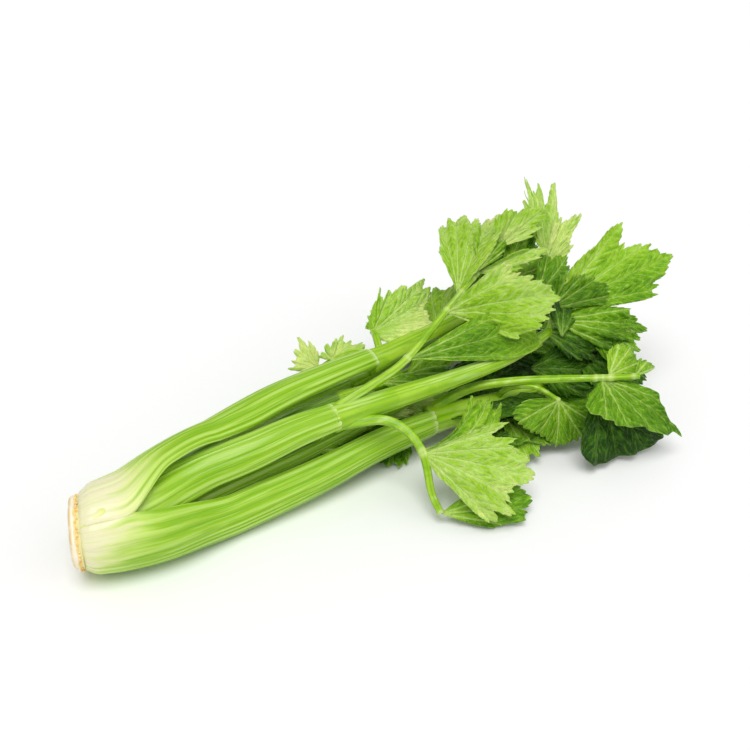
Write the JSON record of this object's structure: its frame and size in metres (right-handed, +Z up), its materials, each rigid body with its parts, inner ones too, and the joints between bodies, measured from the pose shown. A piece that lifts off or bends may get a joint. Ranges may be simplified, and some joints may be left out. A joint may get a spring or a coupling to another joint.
{
  "type": "head of celery",
  "caption": "Head of celery lying on its side: a cut root end, a bulb of ribbed stalks with channelled inner faces, and toothed leaflets on side stems at the tops.",
  "frame": {"origin": "a flat spot under the lowest stalk, near the bulb, on the surface that the head lies on", "axes": "+X from the cut root end to the leaves, along the stalks; +Z up; -Y toward the front of the head"},
  "size_m": [0.4357, 0.2194, 0.1228],
  "materials": {
    "root_cream": "matt, dry cut face",
    "stalk_green": "smooth, moist, ribbed",
    "heart_green": "smooth, moist, pale",
    "leaf_green": "satin leaf, thin and veined"
  },
  "bodies": {
    "root": {"crown": "root_cream", "stalk_bottom": "stalk_green", "stalk_top": "stalk_green", "stalk_back": "stalk_green", "stalk_front": "stalk_green", "stalk_inner_front": "stalk_green", "stalk_inner_back": "stalk_green", "stalk_heart_top": "heart_green", "stalk_heart_low": "heart_green", "stalk_heart_mid": "heart_green", "leaves_bottom": "leaf_green", "leaves_top": "leaf_green", "leaves_back": "leaf_green", "leaves_front": "leaf_green", "leaves_inner_front": "leaf_green", "leaves_inner_back": "leaf_green", "leaves_heart_top": "leaf_green", "leaves_heart_low": "leaf_green", "leaves_heart_mid": "leaf_green"}
  },
  "joints": []
}
